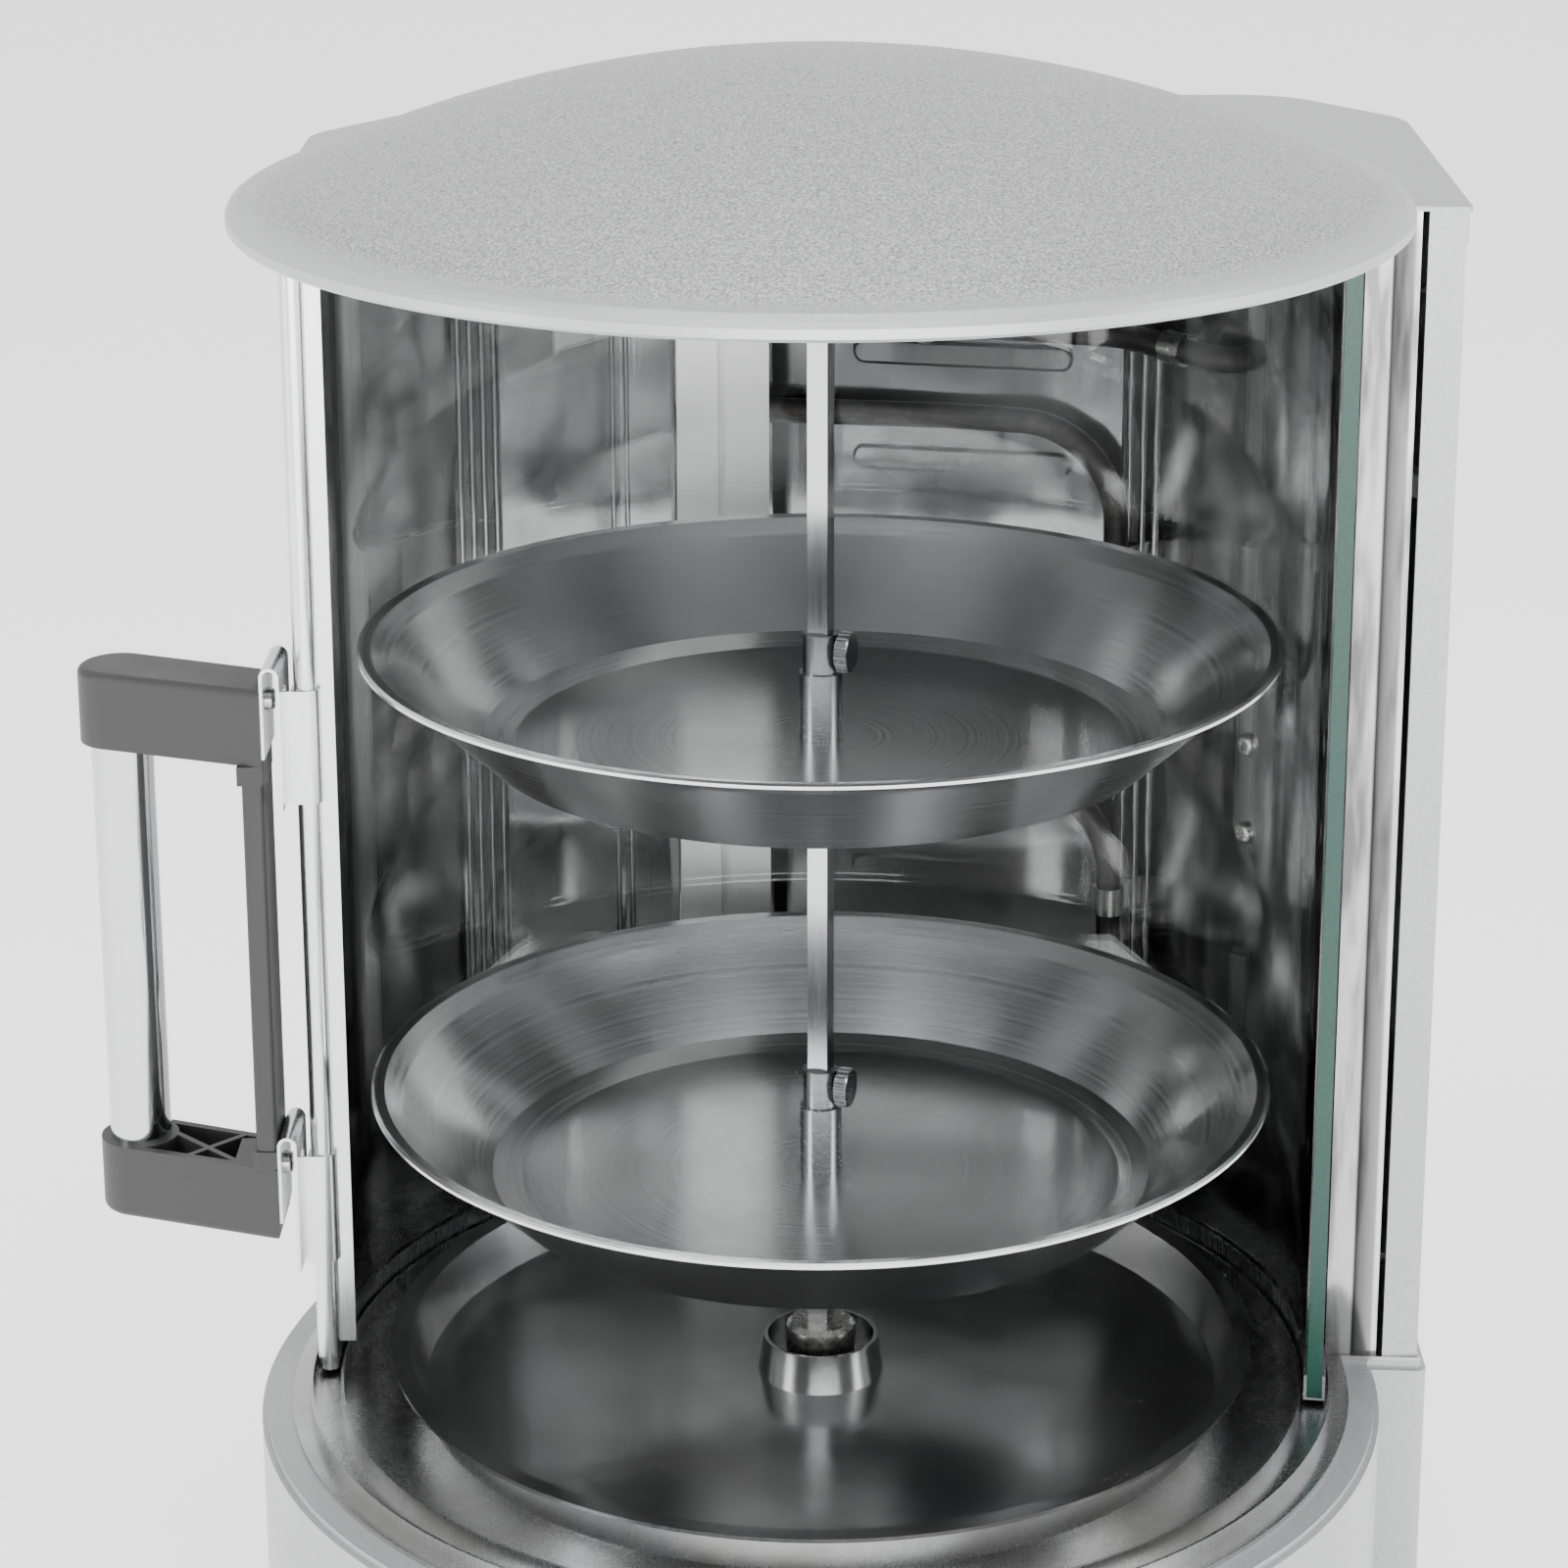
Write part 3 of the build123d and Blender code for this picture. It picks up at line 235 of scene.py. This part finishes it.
plate_steel = brushed("stainless sheet, brushed sideways", "#B4B6B8", (30, 3000, 3000), 0.28)
black = moulded("black moulded plastic, fine eroded grain", "#2A2A2B", 0.48, 2400.0, 0.00006)
ink = moulded("dark screen print ink", "#2A2B2D", 0.5, 900.0, 0.00002)
white_ink = moulded("white pad print ink", "#E8E8E4", 0.5, 900.0, 0.00002)
dress(plate_steel, "control_panel")
dress(black, "timer_knob", "selector_knob", "timer_body", "selector_body", "pilot_lamp",
      "cable_gland", "door_runners")
dress(fluted_lens(), "pilot_lens")
panel_front = box_of("control_panel")[1][1]


def ticks(knob, first, last, count, label):
    """Marks round a knob at count angles a from first to last degrees: each is a quad about the
    ray (cos a, sin a), TICK_HALF to each side, and every second one is short."""
    middle = box_of(knob)[0]
    turn = np.radians(np.linspace(first, last, count))[:, None]
    out = np.concatenate([np.cos(turn), np.sin(turn)], axis=1)
    side = np.stack([-out[:, 1], out[:, 0]], axis=1) * TICK_HALF
    near = out * TICK_NEAR
    far = out * np.where(np.arange(count) % 2 == 0, TICK_FAR, TICK_SHORT)[:, None]
    flat = np.stack([near - side, far - side, far + side, near + side], 1)
    corners = np.empty((count, 4, 3))
    corners[..., 0] = middle[0] + flat[..., 0]
    corners[..., 1] = panel_front - PRINT_LIFT
    corners[..., 2] = middle[2] + flat[..., 1]
    quads(label, corners, ink, "cabinet")


def pointer(knob, label, body):
    """The white line up a knob's grip bar: one quad, POINTER_HALF to each side of the axis."""
    middle, low = box_of(knob)
    x = middle[0] + POINTER_HALF * np.array([-1, 1, 1, -1])
    z = middle[2] + np.array([POINTER_LOW, POINTER_LOW, POINTER_HIGH, POINTER_HIGH])
    corners = np.stack([x, np.full(4, low[1] - PRINT_LIFT), z], 1)[None]
    quads(label, corners, white_ink, body)


ticks("timer_knob", -210, 30, 25, "timer_scale")
ticks("selector_knob", -30, 210, 9, "function_scale")
pointer("timer_knob", "timer_pointer", "timer_control")
pointer("selector_knob", "function_pointer", "function_control")

# ---- feet, base plate, gearmotor, terminal block -------------------------------------------------
# Moulded rubber feet under a galvanised base plate; a gearmotor on a folded bracket and a porcelain
# terminal block, all hidden in use.
rubber = moulded("black moulded rubber", "#262626", 0.75, 1500.0, 0.0001)
galvanised = brushed("galvanised sheet, rolled", "#A7AAAD", (160, 160, 160), 0.42)
porcelain = moulded("glazed porcelain insulator", "#E9E6DC", 0.22, 500.0, 0.00002)
dress(rubber, "feet")
dress(galvanised, "base_plate", "motor_bracket", "gearmotor", "frame_spacers", "thermal_cutout")
dress(porcelain, "terminal_block", "heater_terminals")

# ---- screws, spindles, shaft, bushes -------------------------------------------------------------
# Cold headed steel screws, nickel plated, hold every sheet; the spindles, the drive shaft and its
# socket have the same finish, and the spit and its drive turn in sintered bronze bushes.
screw_steel = brushed(
    "screw steel, cold headed and nickel plated", "#B9B9B6", (900, 900, 900), 0.27)
bronze = brushed("sintered bronze bush", "#B98D55", (2500, 2500, 2500), 0.36)
dress(screw_steel, "foot_screws", "casing_screws", "lid_screws", "reflector_screws",
      "handle_screws", "drive_shaft", "timer_spindle", "selector_spindle", "drive_socket",
      "temperature_probe")
dress(bronze, "floor_bush", "top_bush")

# ---- chamber: ceiling, floor, tray, reflectors ---------------------------------------------------
# Bright rolled stainless sheet, folded along upright lines and a little uneven, so that it throws
# long dark and light blobs; a light, patchy film of grease dulls it.
# The right reflector's front flange has painted reflections in its colour: upright stripes, dark
# streaks and a painted bright highlight line.
FLANGE_X = (0.1480, 0.1625)  # the right reflector's front flange, from its inner edge to its outer
FLANGE_Y = -0.0014  # only the flange's front face lies in front of this


def mirror_sheet(name, color, wave, rough, tint="#8F8C86"):
    """Bright annealed stainless, a mirror a little bent: waves of 40 mm and the given depth in
    metres, upright rolling lines of 0.7 mm, drawn as coarse as they need to be to show, and a film
    of grease of 55 mm that brings in the tint; the roughness goes from rough to rough + 0.16."""
    made, tree, shader = new_material(name)
    place = add(tree, "TexCoord").outputs["Object"]
    rolled = add(tree, "Mapping", {"Vector": place, "Scale": (1400, 1400, 14)})
    upright = add(tree, "Mapping", {"Vector": place, "Scale": (1, 1, 0.35)})
    film = add(tree, "TexNoise", {
        "Vector": place, "Scale": 18.0, "Detail": 8.0, "Roughness": 0.62})
    lines = add(tree, "TexNoise", {
        "Vector": rolled, "Scale": 1.0, "Detail": 5.0, "Roughness": 0.7})
    waves = add(tree, "TexNoise", {
        "Vector": upright, "Scale": 26.0, "Detail": 2.0, "Roughness": 0.4})
    patches = add(tree, "ValToRGB", {"Fac": film}, [(0.42, 0.0), (0.72, 0.55)])
    dulled = add(tree, "MixRGB", {"Fac": 0.45, "Color1": film, "Color2": lines})
    uneven = add(tree, "Bump", {"Height": waves, "Strength": 0.5, "Distance": wave})
    feed(tree, shader, {
        "Base Color": add(tree, "MixRGB", {
            "Fac": patches, "Color1": srgb(color), "Color2": srgb(tint)}),
        "Roughness": add(tree, "ValToRGB", {"Fac": dulled}, [(0.35, rough), (0.7, rough + 0.16)]),
        "Metallic": 1.0,
        "Normal": add(tree, "Bump", {
            "Height": lines, "Normal": uneven, "Strength": 0.08, "Distance": 0.00002})})
    return made


def painted_flange_reflections(sheet):
    """A copy of the reflector's material: where y < FLANGE_Y its colour is painted reflection,
    upright stripes from a ramp over (x - inner edge) / (outer edge - inner edge): light grey, a
    dark line, a grey gradient painted as reflection and a bright line painted as a highlight, times
    upright dark streaks of 9 mm painted as blurred reflections."""
    made = sheet.copy()
    made.name = "bright annealed stainless, its front flange rolled upright"
    tree = made.node_tree
    shader = tree.nodes["Principled BSDF"]
    polished = shader.inputs["Base Color"].links[0].from_socket
    place = add(tree, "TexCoord").outputs["Object"]
    axes = add(tree, "SeparateXYZ", {"Vector": place})
    inner, outer = FLANGE_X
    across = add(tree, "MapRange", {
        "Value": axes.outputs["X"], "From Min": inner, "From Max": outer})
    # painted reflection: a light strip, a dark line, a grey reflection gradient and a bright
    # highlight line
    reflection_bands = add(tree, "ValToRGB", {"Fac": across}, [
        (0.0, "#ABABAB"), (0.50, "#B2B2B2"), (0.55, "#2C2C2C"), (0.63, "#5C5C5C"),
        (0.88, "#868686"), (0.93, "#D0D0D0")])
    # upright dark streaks that darken the flange's colour, painted blurred reflections
    upright = add(tree, "Mapping", {"Vector": place, "Scale": (110, 1, 14)})
    reflection_streak_noise = add(tree, "TexNoise", {
        "Vector": upright, "Scale": 1.0, "Detail": 3.0, "Roughness": 0.55})
    reflection_streaks = add(tree, "ValToRGB", {"Fac": reflection_streak_noise}, [(0.48, 1.0), (0.62, 0.35)])
    dulled = add(tree, "MixRGB", {
        "Fac": 1.0, "Color1": reflection_bands, "Color2": reflection_streaks}, blend_type="MULTIPLY")
    front = add(tree, "Math", {0: axes.outputs["Y"], 1: FLANGE_Y}, operation="LESS_THAN")
    feed(tree, shader, {"Base Color": add(tree, "MixRGB", {
        "Fac": front, "Color1": polished, "Color2": dulled})})
    return made


ceiling = brushed("stainless ceiling sheet, cold rolled", "#C4C5C6", (40, 900, 900), 0.32)
reflector = mirror_sheet("bright annealed stainless, folded", "#8E8F90", 0.006, 0.07, "#5A5958")
pale_sheet = brushed(
    "stainless strip, rolled upright", "#E6E6E6", (2600, 2600, 20), 0.42, 0.06, 0.6)
tray_sheet = mirror_sheet("bright stainless, deep drawn tray", "#B0B1B2", 0.001, 0.14)
floor_sheet = mirror_sheet("stainless sheet, mill finish, pressed tracks", "#B9BABB", 0.0006, 0.2)
dress(ceiling, "top_frame")
dress(reflector, "reflector_left", "reflector_back")
dress(painted_flange_reflections(reflector), "reflector_right")
dress(pale_sheet, "reflector_post")
dress(tray_sheet, "drip_tray")
dress(floor_sheet, "chamber_floor")

# ---- heater and its clamps -----------------------------------------------------------------------
# A tubular element bent to and fro beside the right reflector, its sheath darkened by heat to a
# patchy blue black; the clamps that hold it are pressed from stainless strip.


def heat_sheath():
    """A drawn tube darkened by heat: a ramp of blue black to brown over noise of 6 mm, and a grain
    of 0.9 mm."""
    made, tree, shader = new_material("heat darkened sheath, drawn tube")
    place = add(tree, "TexCoord").outputs["Object"]
    patches = add(tree, "TexNoise", {
        "Vector": place, "Scale": 160.0, "Detail": 6.0, "Roughness": 0.65})
    grain = add(tree, "TexNoise", {
        "Vector": place, "Scale": 1100.0, "Detail": 4.0, "Roughness": 0.6})
    feed(tree, shader, {
        "Base Color": add(tree, "ValToRGB", {"Fac": patches}, [
            (0.3, "#26252A"), (0.55, "#3A3738"), (0.75, "#524B46")]),
        "Roughness": add(tree, "ValToRGB", {"Fac": patches}, [(0.3, 0.36), (0.7, 0.58)]),
        "Metallic": 0.75,
        "Normal": add(tree, "Bump", {"Height": grain, "Strength": 0.3, "Distance": 0.00008})})
    return made


dress(heat_sheath(), "heater_element")
dress(brushed("stainless clip, pressed", "#8F8F8D", (500, 500, 500), 0.3), "heater_clamps")

# ---- spit, plates, hubs, thumbscrews -------------------------------------------------------------
# The spit is bright drawn square bar; the plates are spun from bright stainless, with fine circular
# lines left by spinning; hubs and thumbscrews are turned and nickel plated.
bar_steel = brushed(
    "bright drawn square bar, nickel plated", "#C4C5C6", (2200, 2200, 25), 0.16, 0.07)
turned = brushed("turned steel, nickel plated", "#9A9B9D", (600, 600, 3200), 0.24)
dress(bar_steel, "spit")
dress(turned, "hub_upper", "hub_lower", "thumbscrew_upper", "thumbscrew_lower")
spit_mid = box_of("spit")[0]
to_spit = (-spit_mid[0], -spit_mid[1], 0)  # moves the spit's axis onto the origin


def spun_sheet():
    """Spun stainless, shining in rings: noise of 1.1 mm over the radius sqrt(x * x + y * y) from
    the spit's axis, and a film of grease of 50 mm."""
    made, tree, shader = new_material("spun stainless plate, circular lines")
    place = add(tree, "TexCoord").outputs["Object"]
    centred = add(tree, "Mapping", {"Vector": place, "Location": to_spit})
    axes = add(tree, "SeparateXYZ", {"Vector": centred})
    x, y = axes.outputs["X"], axes.outputs["Y"]
    squares = add(tree, "Math", {
        0: add(tree, "Math", {0: x, 1: x}, operation="MULTIPLY"),
        1: add(tree, "Math", {0: y, 1: y}, operation="MULTIPLY")}, operation="ADD")
    radius = add(tree, "Math", {0: squares}, operation="SQRT")
    rings = add(tree, "TexNoise", {
        "W": radius, "Scale": 900.0, "Detail": 5.0, "Roughness": 0.7}, noise_dimensions="1D")
    film = add(tree, "TexNoise", {
        "Vector": place, "Scale": 20.0, "Detail": 7.0, "Roughness": 0.6})
    patches = add(tree, "ValToRGB", {"Fac": film}, [(0.45, 0.0), (0.75, 0.5)])
    dulled = add(tree, "MixRGB", {"Fac": 0.35, "Color1": rings, "Color2": film})
    feed(tree, shader, {
        "Base Color": add(tree, "MixRGB", {
            "Fac": patches, "Color1": srgb("#DEDFE0"), "Color2": srgb("#B4B3B1")}),
        "Roughness": add(tree, "ValToRGB", {"Fac": dulled}, [(0.3, 0.13), (0.7, 0.27)]),
        "Metallic": 1.0,
        "Normal": add(tree, "Bump", {"Height": rings, "Strength": 0.05, "Distance": 0.00002})})
    return made


dress(spun_sheet(), "plate_upper", "plate_lower")

# ---- door: glass, rolled edge, carriers ----------------------------------------------------------
# Curved tempered glass, 4 mm, its ground edges deep green; the steel carriers and the rolled tube
# grip it on three sides and the right-hand edge stays bare.


def float_glass():
    """Clear glass, faintly smeared, with ground green edges: an edge is where |n . r| < 0.5, with
    n the normal in object space and r the level direction away from the spit's axis."""
    made, tree, shader = new_material("tempered float glass, ground edge")
    coords = add(tree, "TexCoord")
    place = coords.outputs["Object"]
    centred = add(tree, "Mapping", {"Vector": place, "Location": to_spit})
    level = add(tree, "VectorMath", {0: centred, 1: (1, 1, 0)}, operation="MULTIPLY")
    outward = add(tree, "VectorMath", {0: level}, operation="NORMALIZE")
    facing = add(tree, "VectorMath", {
        0: outward, 1: coords.outputs["Normal"]}, operation="DOT_PRODUCT").outputs["Value"]
    along = add(tree, "Math", {0: facing}, operation="ABSOLUTE")
    edge = add(tree, "Math", {0: along, 1: 0.5}, operation="LESS_THAN")
    smear = add(tree, "TexNoise", {
        "Vector": place, "Scale": 30.0, "Detail": 7.0, "Roughness": 0.6})
    grit = add(tree, "TexNoise", {
        "Vector": place, "Scale": 900.0, "Detail": 4.0, "Roughness": 0.55})
    feed(tree, shader, {
        "Base Color": srgb("#FDFEFD"), "Transmission Weight": 1.0, "IOR": 1.52,
        "Roughness": add(tree, "ValToRGB", {"Fac": smear}, [(0.45, 0.0), (0.8, 0.05)])})
    ground = add(tree, "BsdfPrincipled", {
        "Base Color": add(tree, "ValToRGB", {"Fac": grit}, [(0.3, "#123A30"), (0.7, "#1B4A3E")]),
        "Roughness": 0.3})
    feed(tree, tree.nodes["Material Output"], {
        "Surface": add(tree, "MixShader", {0: edge, 1: shader, 2: ground})})
    return made


trim_steel = brushed("stainless trim, rolled upright", "#D4D5D6", (2400, 2400, 22), 0.26)
dress(float_glass(), "door_glass")
dress(trim_steel, "door_tube", "door_edge_channel", "door_carrier_top", "door_carrier_bottom",
      "handle_bracket_upper", "handle_bracket_lower")

# ---- handle --------------------------------------------------------------------------------------
# Two black moulded end caps joined by a moulded strip at the back, with a bright chromed tube to
# hold between the caps. The steel brackets that carry them are dressed with the door.
chrome = brushed("chromed tube, polished", "#C9CACB", (2500, 2500, 30), 0.12, 0.05)
dress(chrome, "handle_grip")
dress(black, "handle_cap_upper", "handle_cap_lower", "handle_back_strip")

# ---- stage, light, camera ------------------------------------------------------------------------
# A pale floor; soft lights above, low in front and at both sides; a room that is dim in front of
# the oven and bright behind it. The camera stands in front of the spit and looks a little down.
FLOOR_HALF = 6.0
CAMERA_BACK, CAMERA_HEIGHT = 0.99795, 0.607065  # in front of the spit's axis, above the floor
CAMERA_PITCH = 0.2874  # radians down from level

floor_mesh = bpy.data.meshes.new("floor")
floor_mesh.from_pydata([
    (-FLOOR_HALF, -FLOOR_HALF, 0), (FLOOR_HALF, -FLOOR_HALF, 0),
    (FLOOR_HALF, FLOOR_HALF, 0), (-FLOOR_HALF, FLOOR_HALF, 0)], [], [(0, 1, 2, 3)])
pale, tree, shader = new_material("pale matt floor")
feed(tree, shader, {
    "Base Color": srgb("#FAFAFA"), "Roughness": 0.8,
    "Emission Color": srgb("#FFFFFF"), "Emission Strength": 0.95})
floor_mesh.materials.append(pale)
floor = new_object("floor", floor_mesh)

world = bpy.data.worlds.new("room")
bpy.context.scene.world = world
world.use_nodes = True
tree = world.node_tree
axes = add(tree, "SeparateXYZ", {"Vector": add(tree, "TexCoord").outputs["Generated"]})
behind = add(tree, "MapRange", {
    "Value": axes.outputs["Y"], "From Min": -1.0, "From Max": 0.6})
feed(tree, tree.nodes["Background"], {
    "Color": add(tree, "ValToRGB", {"Fac": behind}, [
        (0.0, 0.22), (0.35, 0.34), (0.8, 0.95), (1.0, 1.0)]),
    "Strength": 1.5})


def soft_light(name, place, aim, size, power):
    """An area light facing a point: with w = aim - place it is tilted by atan2(|level w|, -w z)
    and then turned by atan2(-w x, w y)."""
    lamp = bpy.data.lights.new(name, "AREA")
    lamp.shape = "RECTANGLE"
    lamp.size, lamp.size_y = size
    lamp.energy = power
    made = new_object(name, lamp)
    made.location = place
    way = np.array(aim) - np.array(place)
    level = math.hypot(way[0], way[1])
    made.rotation_euler = (math.atan2(level, -way[2]), 0, math.atan2(-way[0], way[1]))


soft_light("top", (0.0, -0.7, 2.0), aim=(0, 0, 0.3), size=(1.6, 1.2), power=34)
soft_light("low front", (0.25, -2.0, 0.25), aim=(0, 0, 0.2), size=(2.0, 0.7), power=34)
soft_light("left", (-1.6, -0.9, 0.8), aim=(0, 0, 0.3), size=(0.5, 1.4), power=16)
soft_light("right", (1.7, -0.6, 0.8), aim=(0, 0, 0.3), size=(0.4, 1.4), power=12)

camera = bpy.data.cameras.new("camera")
camera.sensor_width = 36.0
camera.lens = 95.33
camera.shift_x = -0.0234
camera.shift_y = -0.12
view = new_object("camera", camera)
view.location = (spit_mid[0], spit_mid[1] - CAMERA_BACK, CAMERA_HEIGHT)
view.rotation_euler = (math.pi / 2 - CAMERA_PITCH, 0, 0)
bpy.context.scene.camera = view
